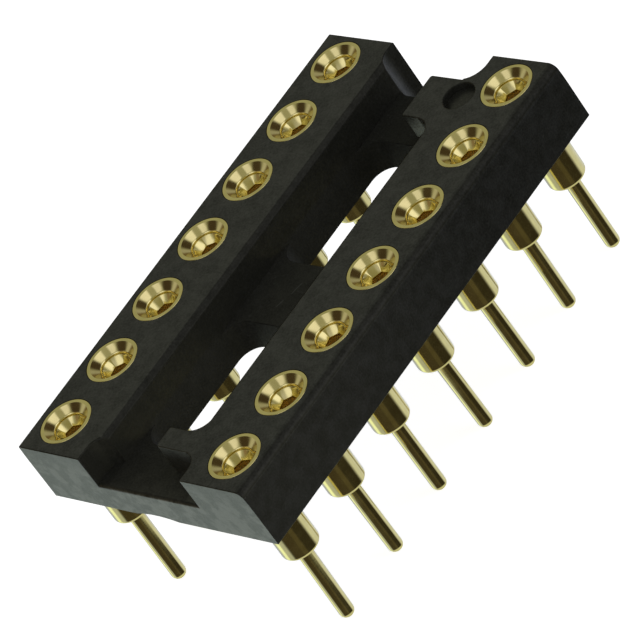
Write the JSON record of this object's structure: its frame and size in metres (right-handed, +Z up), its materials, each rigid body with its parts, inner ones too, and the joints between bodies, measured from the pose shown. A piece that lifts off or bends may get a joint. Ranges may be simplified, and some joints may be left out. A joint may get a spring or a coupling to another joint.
{
  "type": "dual in-line ic socket",
  "caption": "Open-frame dual in-line socket: a black ladder-shaped insulator holds two rows of turned, gold-plated sleeves with sprung clips inside and round solder tails below.",
  "frame": {"origin": "centre of the outline at the tips of the solder tails, where the part stands", "axes": "+Z up out of the contact mouths, +Y along the contact rows towards the end with the round mark, +X across the rows"},
  "size_m": [0.01, 0.0176, 0.0074],
  "materials": {
    "frame_plastic": "black glass-filled moulded polyester, fine matte grain",
    "sleeve_gold": "turned brass, gold plated, bright with faint turning lines",
    "clip_gold": "sprung copper alloy, gold plated, smooth"
  },
  "bodies": {
    "root": {"insulator_frame": "frame_plastic", "pin_sleeve_01": "sleeve_gold", "pin_sleeve_02": "sleeve_gold", "pin_sleeve_03": "sleeve_gold", "pin_sleeve_04": "sleeve_gold", "pin_sleeve_05": "sleeve_gold", "pin_sleeve_06": "sleeve_gold", "pin_sleeve_07": "sleeve_gold", "pin_sleeve_08": "sleeve_gold", "pin_sleeve_09": "sleeve_gold", "pin_sleeve_10": "sleeve_gold", "pin_sleeve_11": "sleeve_gold", "pin_sleeve_12": "sleeve_gold", "pin_sleeve_13": "sleeve_gold", "pin_sleeve_14": "sleeve_gold", "spring_clip_01": "clip_gold", "spring_clip_02": "clip_gold", "spring_clip_03": "clip_gold", "spring_clip_04": "clip_gold", "spring_clip_05": "clip_gold", "spring_clip_06": "clip_gold", "spring_clip_07": "clip_gold", "spring_clip_08": "clip_gold", "spring_clip_09": "clip_gold", "spring_clip_10": "clip_gold", "spring_clip_11": "clip_gold", "spring_clip_12": "clip_gold", "spring_clip_13": "clip_gold", "spring_clip_14": "clip_gold"}
  },
  "joints": []
}
